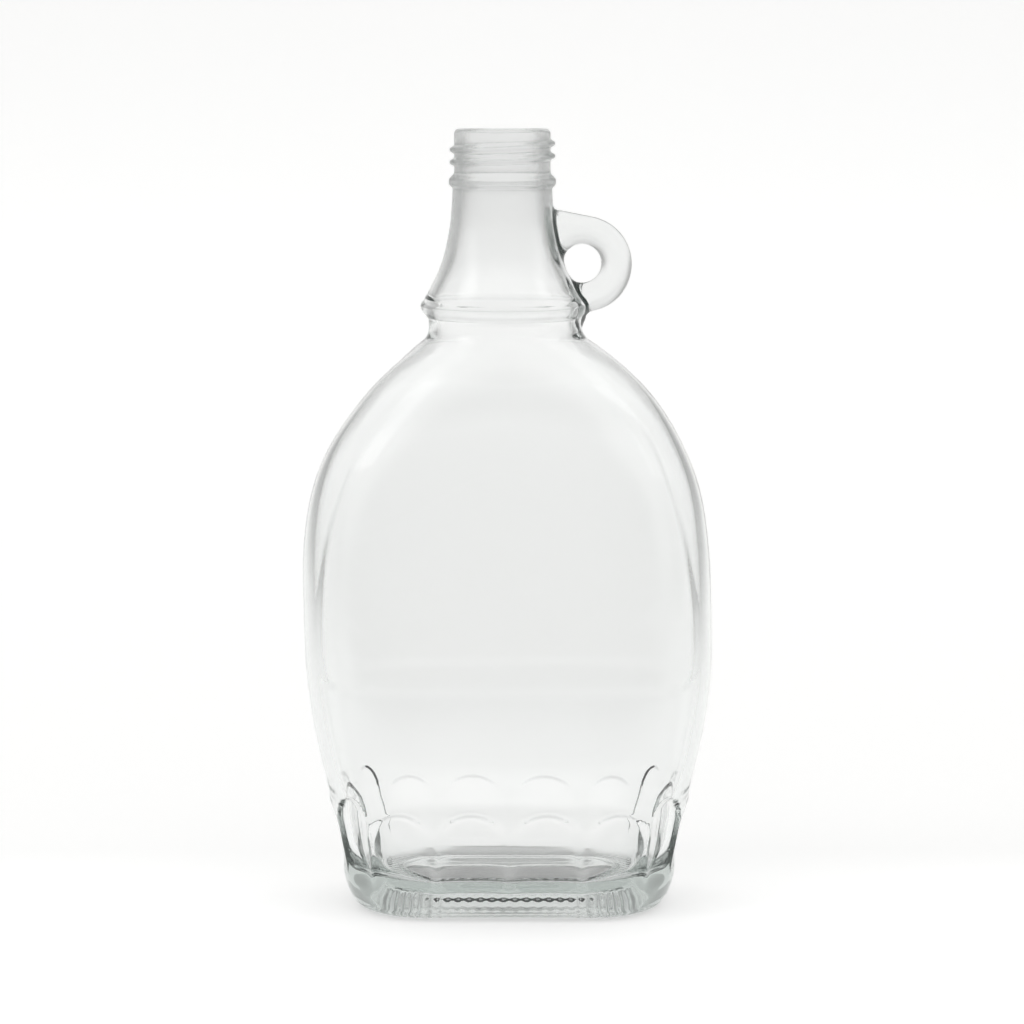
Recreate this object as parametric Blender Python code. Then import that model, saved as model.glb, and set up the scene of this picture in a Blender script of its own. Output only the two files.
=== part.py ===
"""Glass syrup flask with a small loop at the neck: one closed solid, empty and without a cap.

The label face looks along -Y, the loop is on +X, +Z is up, and the origin is at the middle of the foot.
"""

import math

import bmesh
import bpy

MM = 0.001

# Overall sizes, mm
HEIGHT = 202.7

# The blown wall isn't quite even: height, how far the wall's middle stands off along X
MIDDLE = [(0.0, 0.4), (55.0, 0.4), (76.0, 0.0), (100.0, -0.4), (118.0, -0.35), (134.0, 0.3)]
MIDDLE += [(142.0, 0.25), (151.0, -0.6), (163.0, -1.3), (202.7, -1.35)]

# Outside of the wall, foot to collar: height, half width, half depth, half length of the straight
# front, roundness of the ends (2 is an ellipse, more is squarer)
OUTSIDE = [
    (0.0, 37.5, 20.3, 21.5, 2.0),
    (0.6, 39.4, 22.3, 21.0, 2.05),
    (2.4, 41.2, 24.0, 20.5, 2.15),
    (6.0, 42.8, 25.2, 20.0, 2.3),
    (15.6, 44.9, 25.2, 20.0, 2.5),
    (27.0, 47.0, 25.1, 20.0, 2.6),
    (31.0, 47.4, 25.0, 20.0, 2.6),
    (32.8, 47.7, 25.1, 19.5, 2.6),
    (38.0, 49.1, 25.6, 18.0, 2.6),
    (53.0, 51.95, 26.7, 14.0, 2.6),
    (67.9, 53.15, 27.5, 10.0, 2.6),
    (80.0, 53.2, 27.9, 8.0, 2.6),
    (95.6, 52.7, 28.1, 6.0, 2.55),
    (110.3, 50.2, 28.0, 4.0, 2.5),
    (121.3, 45.7, 27.6, 2.0, 2.45),
    (132.3, 38.6, 26.6, 1.0, 2.35),
    (137.8, 33.8, 25.4, 0.5, 2.25),
    (143.2, 27.9, 23.4, 0.0, 2.15),
    (146.8, 23.6, 21.6, 0.0, 2.05),
    (148.9, 20.9, 20.4, 0.0, 2.0),
    (151.0, 19.9, 19.8, 0.0, 2.0),
    (153.4, 19.7, 19.7, 0.0, 2.0),
]
# Round part above the body: height, radius
COLLAR = [(154.2, 20.0), (155.2, 20.85), (156.4, 21.35), (157.3, 21.5), (158.4, 20.9), (160.3, 19.6)]
NECK = [(162.4, 18.5), (165.5, 16.97), (168.6, 15.7), (171.7, 14.8), (174.8, 14.13), (178.0, 13.55)]
NECK += [(182.0, 13.15), (187.4, 12.9)]
BEAD = [(188.0, 13.45), (188.7, 13.85), (189.7, 13.8), (190.8, 12.9), (191.6, 12.45)]
LIP = [(201.3, 12.45), (202.3, 12.1), (202.7, 11.4)]

# Underside, from the foot ring inwards, and inside of the wall, floor to mouth: as OUTSIDE
UNDERSIDE = [
    (0.0, 34.7, 17.5, 19.0, 2.0),
    (1.2, 31.6, 15.5, 17.5, 2.1),
    (2.4, 30.2, 14.6, 16.5, 2.1),
    (2.7, 14.0, 7.0, 7.0, 2.0),
]
UNDERSIDE_MIDDLE = 2.8
INSIDE = [
    (7.6, 24.0, 11.0, 12.0, 2.0),
    (8.4, 33.0, 16.6, 17.0, 2.0),
    (10.6, 37.6, 20.0, 18.5, 2.1),
    (15.0, 40.3, 21.4, 19.0, 2.3),
    (22.0, 42.2, 21.7, 19.5, 2.45),
    (31.0, 43.9, 21.8, 20.0, 2.5),
    (38.0, 45.9, 22.4, 18.0, 2.5),
    (53.0, 48.8, 23.6, 14.0, 2.5),
    (67.9, 50.0, 24.4, 10.0, 2.5),
    (80.0, 50.1, 24.8, 8.0, 2.5),
    (95.6, 49.6, 25.0, 6.0, 2.45),
    (110.3, 47.1, 24.9, 4.0, 2.4),
    (121.3, 42.6, 24.4, 2.0, 2.35),
    (132.3, 35.6, 23.3, 1.0, 2.25),
    (137.8, 31.0, 22.0, 0.5, 2.15),
    (143.2, 25.3, 20.0, 0.0, 2.05),
    (148.9, 18.8, 17.7, 0.0, 2.0),
    (153.6, 16.9, 16.9, 0.0, 2.0),
    (157.2, 16.9, 16.9, 0.0, 2.0),
    (162.4, 15.5, 15.5, 0.0, 2.0),
    (168.6, 13.0, 13.0, 0.0, 2.0),
    (174.8, 11.5, 11.5, 0.0, 2.0),
    (182.0, 10.5, 10.5, 0.0, 2.0),
    (190.0, 10.0, 10.0, 0.0, 2.0),
    (201.2, 10.0, 10.0, 0.0, 2.0),
]
FLOOR_MIDDLE = 7.5
MOUTH_FLARE = 0.6

# Flutes round the foot: arc shares of a quarter turn from the front's middle to the side's middle
FLUTE_ENDS = (0.0, 0.309, 0.596, 0.773, 1.227)
FLUTE_STEPS = (5, 5, 3, 5)
FLUTE_TOPS = (28.5, 28.5, 27.8, 29.6)
FLUTE_FOOT = 8.5
FLUTE_DEPTH = 1.0
FLUTE_ARCH = 4.5

# Thread: one ridge, right-handed
THREAD_PITCH = 3.2
THREAD_RADIUS = 12.55
THREAD_RIDGE = 1.1
THREAD_TOP = 198.9  # height of the ridge where it crosses +X first
THREAD_START, THREAD_END = 40.0, -600.0  # degrees round from +X

# Loop
LOOP_MIDDLE = (19.7, 167.9)
LOOP_RADIUS = 12.4
HOLE_MIDDLE = (19.2, 168.1)
HOLE_RADIUS = 4.95
LOOP_THICK = 6.5
LOOP_EDGE = 1.9


def clear_scene():
    for obj in list(bpy.data.objects):
        bpy.data.objects.remove(obj, do_unlink=True)


def collection(name, helper=False):
    made = bpy.data.collections.new(name)
    bpy.context.scene.collection.children.link(made)
    made.hide_render = helper
    return made


def glass_material():
    material = bpy.data.materials.new("soda_lime_glass")
    material.use_nodes = True
    shader = material.node_tree.nodes["Principled BSDF"]
    shader.inputs["Base Color"].default_value = (0.93, 0.97, 0.95, 1.0)
    shader.inputs["Roughness"].default_value = 0.02
    shader.inputs["IOR"].default_value = 1.52
    shader.inputs["Transmission Weight"].default_value = 1.0
    return material


def ease(edge0, edge1, value):
    t = min(1.0, max(0.0, (value - edge0) / (edge1 - edge0)))
    return t * t * (3.0 - 2.0 * t)


def slopes(heights, values):
    """Slopes at the stations, held back where the curve would overshoot them."""
    steps = [
        (values[i + 1] - values[i]) / (heights[i + 1] - heights[i]) for i in range(len(values) - 1)
    ]
    found = [steps[0]]
    for before, after in zip(steps, steps[1:]):
        most = 0.0 if before * after <= 0.0 else 3.0 * min(abs(before), abs(after))
        middle = (before + after) / 2.0
        found.append(math.copysign(min(abs(middle), most), middle))
    return found + [steps[-1]]


def at_height(stations, height):
    """The stations' values at one height, along a smooth curve through them."""
    heights = [row[0] for row in stations]
    i = max(k for k in range(len(heights) - 1) if k == 0 or heights[k] <= height)
    span = heights[i + 1] - heights[i]
    t = min(1.0, max(0.0, (height - heights[i]) / span))
    found = []
    for column in range(1, len(stations[0])):
        values = [row[column] for row in stations]
        slope = slopes(heights, values)
        found.append(
            values[i] * (1.0 + 2.0 * t) * (1.0 - t) ** 2
            + values[i + 1] * t * t * (3.0 - 2.0 * t)
            + span * slope[i] * t * (1.0 - t) ** 2
            - span * slope[i + 1] * t * t * (1.0 - t)
        )
    return found


def flute_shares():
    """Where the outer wall's columns stand along a quarter turn: each flute evenly divided."""
    shares = []
    for k, steps in enumerate(FLUTE_STEPS):
        start, end = FLUTE_ENDS[k], FLUTE_ENDS[k + 1]
        shares += [start + (end - start) * j / steps for j in range(steps)]
    return [share for share in shares if share < 0.99]


def even_shares(count):
    return [k / count for k in range(count)]


def quarter(half_width, half_depth, straight, roundness):
    """Points of a quarter of the section, finely spaced, from the front's middle to the side's middle."""
    power = 2.0 / roundness
    points = [(straight * k / 8.0, half_depth) for k in range(8)] if straight > 0.0 else []
    for k in range(241):
        angle = math.pi / 2.0 * k / 240.0
        x = straight + (half_width - straight) * math.sin(angle) ** power
        points.append((x, half_depth * max(0.0, math.cos(angle)) ** power))
    points[-1] = (half_width, 0.0)
    return points


def along(points, shares):
    """The points at these shares of a line's length."""
    lengths = [0.0]
    for p, q in zip(points, points[1:]):
        lengths.append(lengths[-1] + math.dist(p, q))
    found, k = [], 0
    for share in shares:
        target = share * lengths[-1]
        while k < len(points) - 2 and lengths[k + 1] < target:
            k += 1
        t = (target - lengths[k]) / (lengths[k + 1] - lengths[k])
        found.append(tuple(a + (b - a) * t for a, b in zip(points[k], points[k + 1])))
    return found


def flute_cut(share, height):
    """How deep the flute is at this place, mm."""
    for k, top in enumerate(FLUTE_TOPS):
        start, end = FLUTE_ENDS[k], FLUTE_ENDS[k + 1]
        if start <= share <= end:
            across = abs(2.0 * (share - start) / (end - start) - 1.0)
            arch = top - FLUTE_ARCH * (1.0 - math.sqrt(1.0 - min(1.0, across) ** 2))
            mask = 1.0 - ease(arch - 1.4, arch, height)
            mask *= ease(FLUTE_FOOT - 2.5, FLUTE_FOOT + 2.0, height)
            return FLUTE_DEPTH * (1.0 - across**2) * mask
    return 0.0


def middle(height):
    """How far the wall's middle stands off along X at this height."""
    return at_height(MIDDLE, min(height, HEIGHT))[0]


def outwards(points, share):
    """The direction square to the section's line at this share of its length."""
    (x0, y0), (x1, y1) = along(points, [max(0.0, share - 0.004), min(1.0, share + 0.004)])
    size = math.dist((x0, y0), (x1, y1))
    return (y0 - y1) / size, (x1 - x0) / size


def ring(height, sizes, shares, fluted=False):
    """One ring of points, anticlockwise seen from above, starting at the front's middle."""
    line = quarter(*sizes)
    places = []
    for share, (x, y) in zip(shares + [1.0], along(line, shares + [1.0])):
        cut = flute_cut(share, height) if fluted else 0.0
        across, deep = outwards(line, share) if cut else (0.0, 0.0)
        if share == 1.0:
            across, deep = 1.0, 0.0
        places.append((x - cut * across, y - cut * deep))
    front_right = [(x, -y) for x, y in places]
    back_right = [(x, y) for x, y in reversed(places[1:-1])]
    back_left = [(-x, y) for x, y in places[:-1]]
    front_left = [(-x, -y) for x, y in reversed(places[1:])]
    shift = middle(height)
    around = front_right + back_right + back_left + front_left
    return [((x + shift) * MM, y * MM, height * MM) for x, y in around]


def loft(name, rings, first_middle, last_middle, home):
    """A closed skin over the rings, with a point at each end."""
    mesh = bpy.data.meshes.new(name)
    bm = bmesh.new()
    rows = [[bm.verts.new(p) for p in row] for row in rings]
    for low, high in zip(rows, rows[1:]):
        for k in range(len(low)):
            j = (k + 1) % len(low)
            bm.faces.new((low[k], low[j], high[j], high[k]))
    for row, middle, order in ((rows[0], first_middle, -1), (rows[-1], last_middle, 1)):
        tip = bm.verts.new(middle)
        for k in range(len(row)):
            j = (k + 1) % len(row)
            bm.faces.new((row[k], row[j], tip)[::order])
    bmesh.ops.recalc_face_normals(bm, faces=bm.faces)
    bm.to_mesh(mesh)
    bm.free()
    obj = bpy.data.objects.new(name, mesh)
    home.objects.link(obj)
    return obj


def outer_skin(home):
    shares = flute_shares()
    levels = [0.0, 0.6, 2.4, 6.0, 9.5, 15.6, 22.0, 25.0, 27.0, 28.5, 29.8, 31.0, 32.8]
    levels += [38.0, 46.0, 56.0, 67.0, 78.0, 89.0, 98.0, 106.0, 113.0, 119.5, 126.0, 132.3]
    levels += [137.8, 143.2, 146.8, 148.9, 151.0, 153.4]
    rings = [ring(z, sizes, shares) for z, *sizes in reversed(UNDERSIDE)]
    rings += [ring(z, at_height(OUTSIDE, z), shares, fluted=z < 31.0) for z in levels]
    rings += [ring(z, (r, r, 0.0, 2.0), shares) for z, r in COLLAR + NECK + BEAD + LIP]
    top = (middle(HEIGHT) * MM, 0.0, HEIGHT * MM)
    return loft("flask", rings, (0.0, 0.0, UNDERSIDE_MIDDLE * MM), top, home)


def cavity(home):
    shares = even_shares(14)
    rings = [ring(z, sizes, shares) for z, *sizes in INSIDE]
    mouth = INSIDE[-1][1] + MOUTH_FLARE
    rings += [ring(z, (mouth, mouth, 0.0, 2.0), shares) for z in (HEIGHT, HEIGHT + 3.0)]
    top = (middle(HEIGHT) * MM, 0.0, (HEIGHT + 3.0) * MM)
    return loft("cavity", rings, (0.0, 0.0, FLOOR_MIDDLE * MM), top, home)


def curve_to_mesh(name, curve, home, turn=(0.0, 0.0, 0.0)):
    """The curve's filled shape as a mesh object, with its seams closed."""
    source = bpy.data.objects.new(name + "_path", curve)
    home.objects.link(source)
    source.rotation_euler = turn
    bpy.context.view_layer.update()
    graph = bpy.context.evaluated_depsgraph_get()
    mesh = bpy.data.meshes.new_from_object(source.evaluated_get(graph))
    mesh.transform(source.matrix_world)
    bpy.data.objects.remove(source, do_unlink=True)
    bm = bmesh.new()
    bm.from_mesh(mesh)
    bmesh.ops.remove_doubles(bm, verts=bm.verts, dist=1e-6)
    bmesh.ops.recalc_face_normals(bm, faces=bm.faces)
    bm.to_mesh(mesh)
    bm.free()
    obj = bpy.data.objects.new(name, mesh)
    home.objects.link(obj)
    return obj


def thread(home):
    curve = bpy.data.curves.new("thread_path", "CURVE")
    curve.dimensions = "3D"
    curve.bevel_depth = THREAD_RIDGE * MM
    curve.bevel_resolution = 1
    curve.use_fill_caps = True
    count = 56
    line = curve.splines.new("POLY")
    line.points.add(count)
    for k in range(count + 1):
        degrees = THREAD_START + (THREAD_END - THREAD_START) * k / count
        height = THREAD_TOP + THREAD_PITCH * degrees / 360.0
        run = min(degrees - THREAD_END, THREAD_START - degrees)
        sink = 1.2 * (1.0 - ease(0.0, 34.0, run))
        radius = THREAD_RADIUS - sink
        angle = math.radians(degrees)
        x = radius * math.cos(angle) + middle(height)
        line.points[k].co = (x * MM, radius * math.sin(angle) * MM, height * MM, 1.0)
    return curve_to_mesh("thread", curve, home)


def arc(middle, radius, start, end, count):
    """Points on an arc, degrees, in X and Z."""
    found = []
    for k in range(count):
        angle = math.radians(start + (end - start) * k / (count - 1))
        found.append((middle[0] + radius * math.cos(angle), middle[1] + radius * math.sin(angle)))
    return found


def loop(home):
    """The flat loop, its top and foot widened where they run into the neck and the collar."""
    outline = [(6.4, 187.0), (11.4, 185.6), (12.4, 183.2), (14.4, 181.3)]
    outline += arc(LOOP_MIDDLE, LOOP_RADIUS, 96.0, -78.0, 22)
    outline += [(20.2, 154.6), (19.5, 152.8), (18.3, 150.8), (13.4, 150.8), (6.4, 164.0)]
    hole = arc(HOLE_MIDDLE, HOLE_RADIUS, 0.0, 345.0, 24)
    curve = bpy.data.curves.new("loop_path", "CURVE")
    curve.dimensions = "2D"
    curve.fill_mode = "BOTH"
    curve.bevel_mode = "ROUND"
    curve.bevel_depth = LOOP_EDGE * MM
    curve.bevel_resolution = 1
    curve.extrude = (LOOP_THICK / 2.0 - LOOP_EDGE) * MM
    curve.offset = -LOOP_EDGE * MM
    for points in (outline, hole):
        line = curve.splines.new("POLY")
        line.points.add(len(points) - 1)
        for k, (x, z) in enumerate(points):
            line.points[k].co = (x * MM, z * MM, 0.0, 1.0)
        line.use_cyclic_u = True
    return curve_to_mesh("loop", curve, home, turn=(math.pi / 2.0, 0.0, 0.0))


def combine(target, tool, operation):
    modifier = target.modifiers.new(tool.name, "BOOLEAN")
    modifier.operation = operation
    modifier.solver = "EXACT"
    modifier.object = tool


def main():
    clear_scene()
    parts = collection("syrup_flask")
    helpers = collection("cutters", helper=True)
    flask = outer_skin(parts)
    flask.data.materials.append(glass_material())
    for make, operation in ((loop, "UNION"), (thread, "UNION"), (cavity, "DIFFERENCE")):
        tool = make(helpers)
        tool.display_type = "WIRE"
        tool.hide_render = True
        combine(flask, tool, operation)


main()
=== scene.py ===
# %% [markdown]
# # A glass syrup flask
#
# This lesson dresses a plain solid of a syrup flask so that it looks like the real thing: one piece
# of clear glass, blown in a mould, with a fluted foot, broad label faces, a collar, a small finger
# loop and a screw thread. The solid is loaded first and fixes every size and place.

# %% Load the solid
import math

import bmesh
import bpy
import numpy as np
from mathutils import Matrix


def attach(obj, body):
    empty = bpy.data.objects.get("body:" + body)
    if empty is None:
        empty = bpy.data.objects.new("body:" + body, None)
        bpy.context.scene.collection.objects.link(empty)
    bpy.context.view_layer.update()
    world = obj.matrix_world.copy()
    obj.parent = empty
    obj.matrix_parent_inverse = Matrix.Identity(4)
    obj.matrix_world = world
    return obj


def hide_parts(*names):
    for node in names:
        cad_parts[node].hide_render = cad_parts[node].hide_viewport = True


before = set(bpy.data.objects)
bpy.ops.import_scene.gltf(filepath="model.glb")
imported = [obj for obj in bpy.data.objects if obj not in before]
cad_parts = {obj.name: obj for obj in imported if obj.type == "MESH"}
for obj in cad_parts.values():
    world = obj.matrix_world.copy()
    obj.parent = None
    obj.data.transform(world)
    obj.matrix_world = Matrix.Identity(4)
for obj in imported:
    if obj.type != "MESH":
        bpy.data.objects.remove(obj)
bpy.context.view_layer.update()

MM = 0.001

# %% [markdown]
# ## Camera and room
#
# Glass has no colour of its own to speak of. It shows the room behind it, bent, so the room comes
# before the material: a pale floor that runs up into a pale wall, and light from all round. What
# draws a clear flask is how bright each direction is, because its edges bend the view sideways.

# %% One function for nodes
MATH, VECTOR_MATH = "ShaderNodeMath", "ShaderNodeVectorMath"
MAP_RANGE, ATTRIBUTE = "ShaderNodeMapRange", "GeometryNodeInputNamedAttribute"
SMOOTH = {"interpolation_type": "SMOOTHSTEP"}  # a map range's setting for a soft edge


def add_node(tree, kind, inputs=None, **settings):
    """Adds a node with its settings. An input is a plain value, another node's output, or
    that node itself, which stands for its first output."""
    made = tree.nodes.new(kind)
    for name, value in settings.items():
        setattr(made, name, value)
    for key, value in (inputs or {}).items():
        if isinstance(value, bpy.types.Node):
            value = value.outputs[0]
        if isinstance(value, bpy.types.NodeSocket):
            tree.links.new(value, made.inputs[key])
        else:
            made.inputs[key].default_value = value
    return made


def linear(hex_colour):
    """An sRGB hex colour as the linear values that Blender works in."""
    parts = [int(hex_colour[k : k + 2], 16) / 255.0 for k in (1, 3, 5)]
    curved = [c / 12.92 if c <= 0.04045 else ((c + 0.055) / 1.055) ** 2.4 for c in parts]
    return (*curved, 1.0)


print("mid grey, #808080, is", round(linear("#808080")[0], 3), "in linear light")

# %% The camera
CAMERA_PLACE = (1.13, -900.0, 214.7)  # mm: from well back, a little above the mouth
CAMERA_DOWN = 7.05  # degrees
CAMERA_LENS, CAMERA_SENSOR = 122.38, 36.0  # mm
CAMERA_CLIP = (0.05, 20.0)  # metres
LIGHT_BOUNCES = 20  # light crosses many faces inside clear glass

camera_data = bpy.data.cameras.new("camera")
camera_data.lens, camera_data.sensor_width = CAMERA_LENS, CAMERA_SENSOR
camera_data.clip_start, camera_data.clip_end = CAMERA_CLIP
camera = bpy.data.objects.new("camera", camera_data)
camera.location = [value * MM for value in CAMERA_PLACE]
camera.rotation_euler = (math.radians(90.0 - CAMERA_DOWN), 0.0, 0.0)
bpy.context.scene.collection.objects.link(camera)
bpy.context.scene.camera = camera
bpy.context.scene.view_settings.view_transform = "Standard"
for kind in ("max_bounces", "transmission_bounces", "glossy_bounces"):
    setattr(bpy.context.scene.cycles, kind, LIGHT_BOUNCES)
print("camera", [round(value, 3) for value in camera.location], "lens", CAMERA_LENS)

# %% The floor, which sweeps up into a wall
SWEEP = [(-3.0, -0.00005), (1.6, -0.00005)]  # metres, along Y and up Z, a hair under the foot
SWEEP_RADIUS, SWEEP_STEPS, WALL_TOP = 1.2, 16, 4.0
FLOOR_HALF_WIDTH = 4.0


def floor_profile():
    """The floor's line from front to back: flat, then a quarter circle, then a wall."""
    points = list(SWEEP)
    start, level = SWEEP[-1]
    for k in range(1, SWEEP_STEPS + 1):
        angle = math.pi / 2.0 * k / SWEEP_STEPS
        rise = SWEEP_RADIUS * (1.0 - math.cos(angle))
        points.append((start + SWEEP_RADIUS * math.sin(angle), level + rise))
    return points + [(start + SWEEP_RADIUS, WALL_TOP)]


def make_floor():
    mesh = bpy.data.meshes.new("floor")
    bm = bmesh.new()
    sides = (-FLOOR_HALF_WIDTH, FLOOR_HALF_WIDTH)
    rows = [[bm.verts.new((x, y, z)) for x in sides] for y, z in floor_profile()]
    for low, high in zip(rows, rows[1:]):
        bm.faces.new((low[0], low[1], high[1], high[0])).smooth = True
    bm.to_mesh(mesh)
    bm.free()
    floor = bpy.data.objects.new("floor", mesh)
    bpy.context.scene.collection.objects.link(floor)
    return floor


floor = make_floor()
print("the floor ends at", floor_profile()[-1], "metres back and up")

# %% [markdown]
# The paper isn't one white: light and shade are painted into it. Behind the flask it is white,
# and the glass shows it, bent. In front and to the sides it is painted shade, grey, because glass
# also mirrors a little of what lies before it: that gives a clear flask body.

# %% The paper on it, with painted light and shade
FLOOR_COLOUR = "#f4f4f3"
FLOOR_FRONT_SHADE = "#888886"  # painted shade towards the camera: some grey for the glass to mirror
FRONT_EDGE = (-0.24, -0.12)  # metres along Y: where the painted shade in front turns to white
WEDGE_TIP = 0.9  # metres before the flask: the painted pool of light opens backwards from there
WEDGE_LEAST = 0.1  # metres from the tip: it is never narrower than it is there
WEDGE_SIDE = (0.155, 0.6)  # metres aside per metre from the tip, where it fades to painted shade
WEDGE_WHITE = 0.5  # share of the white that is left beyond that
# a painted shadow underfoot: the paper is grey where the flask's shade falls
FOOT_SHADOW = (36.0, 28.0, 7.0)  # mm: half width, half depth and how far back
FOOT_SHADOW_EDGE = (0.74, 0.98)  # its soft edge, as shares of its size
FOOT_SHADOW_WHITE = 0.38  # how much of the white is left on it
PAPER_ROUGHNESS = 0.9
FLOOR_GLOW = 0.3  # painted light: the paper glows a little by itself, so that shadows stay soft
WALL_GLOW, WALL_RUN = 0.14, (0.1, 2.0)  # more painted glow up the wall, away from the light overhead
NEAR_GLOW, NEAR_RUN = 0.17, (-0.02, 0.06)  # most painted glow in front of the foot, to pale shadows


def floor_paper():
    """Matt paper, white round and behind the flask; painted shade aside, in front and underfoot."""
    material = bpy.data.materials.new("floor_paper_painted_light_and_shade")
    material.use_nodes = True
    tree = material.node_tree
    shader = tree.nodes["Principled BSDF"]
    place = add_node(tree, "ShaderNodeTexCoord")
    x, y, _ = add_node(tree, "ShaderNodeSeparateXYZ", {0: place.outputs["Object"]}).outputs
    back = add_node(tree, MAP_RANGE, {0: y, 1: FRONT_EDGE[0], 2: FRONT_EDGE[1]}, **SMOOTH)
    away = add_node(tree, MATH, {0: y, 1: WEDGE_TIP}, operation="ADD")
    away = add_node(tree, MATH, {0: away, 1: WEDGE_LEAST}, operation="MAXIMUM")
    aside = add_node(tree, MATH, {0: x}, operation="ABSOLUTE")
    aside = add_node(tree, MATH, {0: aside, 1: away}, operation="DIVIDE")
    middle = add_node(
        tree,
        MAP_RANGE,
        {0: aside, 1: WEDGE_SIDE[0], 2: WEDGE_SIDE[1], 3: 1.0, 4: WEDGE_WHITE},
        **SMOOTH,
    )
    # painted shadow under the foot, hidden by it, gives the thick floor something dark to show
    wide, deep, behind = [value * MM for value in FOOT_SHADOW]
    centred = add_node(tree, VECTOR_MATH, {0: place.outputs["Object"], 1: (0.0, -behind, 0.0)})
    share = add_node(
        tree, VECTOR_MATH, {0: centred, 1: (1.0 / wide, 1.0 / deep, 0.0)}, operation="MULTIPLY"
    )
    from_foot_shadow = add_node(tree, VECTOR_MATH, {0: share}, operation="LENGTH")
    off_foot_shadow = add_node(
        tree,
        MAP_RANGE,
        {0: from_foot_shadow.outputs["Value"], 1: FOOT_SHADOW_EDGE[0], 2: FOOT_SHADOW_EDGE[1], 3: FOOT_SHADOW_WHITE, 4: 1.0},
        **SMOOTH,
    )
    # white: the painted light, lowered by painted shade in front, to the sides and underfoot
    white = back
    for part in (middle, off_foot_shadow):
        white = add_node(tree, MATH, {0: white, 1: part}, operation="MULTIPLY")
    shade = add_node(
        tree,
        "ShaderNodeMix",
        {0: white, 6: linear(FLOOR_FRONT_SHADE), 7: linear(FLOOR_COLOUR)},
        data_type="RGBA",
    )
    tree.links.new(shade.outputs[2], shader.inputs["Base Color"])
    shader.inputs["Roughness"].default_value = PAPER_ROUGHNESS
    shader.inputs["Specular IOR Level"].default_value = 0.0
    # painted light: the paper glows, more up the wall and before the foot, less in painted shade
    glow = FLOOR_GLOW
    for run, low, high in ((WALL_RUN, 0.0, WALL_GLOW), (NEAR_RUN, NEAR_GLOW, 0.0)):
        more = add_node(tree, MAP_RANGE, {0: y, 1: run[0], 2: run[1], 3: low, 4: high})
        glow = add_node(tree, MATH, {0: more, 1: glow}, operation="ADD")
    glow = add_node(tree, MATH, {0: glow, 1: white}, operation="MULTIPLY")
    shader.inputs["Emission Color"].default_value = (1.0, 1.0, 1.0, 1.0)
    tree.links.new(glow.outputs[0], shader.inputs["Emission Strength"])
    return material


floor.data.materials.append(floor_paper())
print("paper from", FLOOR_FRONT_SHADE, "in front to", FLOOR_COLOUR, "behind")

# %% Light from all round, brightest behind and overhead
ROOM_LIGHT = 0.78
ROOM_BACK, ROOM_RUN = 0.24, (-0.6, 0.7)  # share that is left behind the camera
ROOM_ABOVE, ABOVE_RUN = 0.7, (0.3, 0.95)  # what is added overhead
SOFTBOXES = {  # where it hangs, its size and its power; both face the flask
    "softbox_left": ((-1.6, -0.6, 1.2), (0.8, 1.2), 2.4),
    "softbox_right": ((1.7, -0.2, 1.1), (0.6, 1.2), 1.6),
}
SOFTBOX_AIM = (0.0, 0.0, 0.1)


def light_room():
    """The room's light by direction: dark behind the camera, white behind the flask."""
    world = bpy.data.worlds.new("studio")
    bpy.context.scene.world = world
    world.use_nodes = True
    tree = world.node_tree
    shade = tree.nodes["Background"]
    place = add_node(tree, "ShaderNodeTexCoord")
    _, y, z = add_node(tree, "ShaderNodeSeparateXYZ", {0: place.outputs["Generated"]}).outputs
    ahead = add_node(
        tree, MAP_RANGE, {0: y, 1: ROOM_RUN[0], 2: ROOM_RUN[1], 3: ROOM_BACK, 4: 1.0}, **SMOOTH
    )
    above = add_node(
        tree, MAP_RANGE, {0: z, 1: ABOVE_RUN[0], 2: ABOVE_RUN[1], 3: 0.0, 4: ROOM_ABOVE}, **SMOOTH
    )
    both = add_node(tree, MATH, {0: ahead, 1: above}, operation="ADD")
    shade.inputs["Strength"].default_value = ROOM_LIGHT
    tree.links.new(both.outputs[0], shade.inputs["Color"])


def add_softbox(name, place, size, power):
    data = bpy.data.lights.new(name, "AREA")
    data.shape = "RECTANGLE"
    data.size, data.size_y = size
    data.energy = power
    box = bpy.data.objects.new(name, data)
    box.location = place
    direction = np.array(SOFTBOX_AIM) - np.array(place)
    pitch = math.atan2(direction[2], math.hypot(direction[0], direction[1]))
    yaw = math.atan2(-direction[0], direction[1])
    box.rotation_euler = (math.pi / 2.0 + pitch, 0.0, yaw)
    bpy.context.scene.collection.objects.link(box)


light_room()
for name, values in SOFTBOXES.items():
    add_softbox(name, *values)

# %% [markdown]
# ## The flask's sections
#
# A flask like this is blown in a mould, so its outside follows the mould and its inside is a
# smoother copy a few millimetres in. Both can be drawn as level sections: flat at the front and
# back, with rounded ends, turning into circles at the neck. A few stations up the height say how
# wide, how deep and how round each section is, and smooth curves join them.

# %% Stations, in millimetres
HEIGHT = 202.7
# height, how far the glass stands off the middle along X
LEAN = [(0.0, 0.4), (55.0, 0.4), (76.0, 0.0), (100.0, -0.4), (118.0, -0.35), (134.0, 0.3)]
LEAN += [(142.0, 0.25), (151.0, -0.6), (163.0, -1.3), (202.7, -1.35)]
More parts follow.
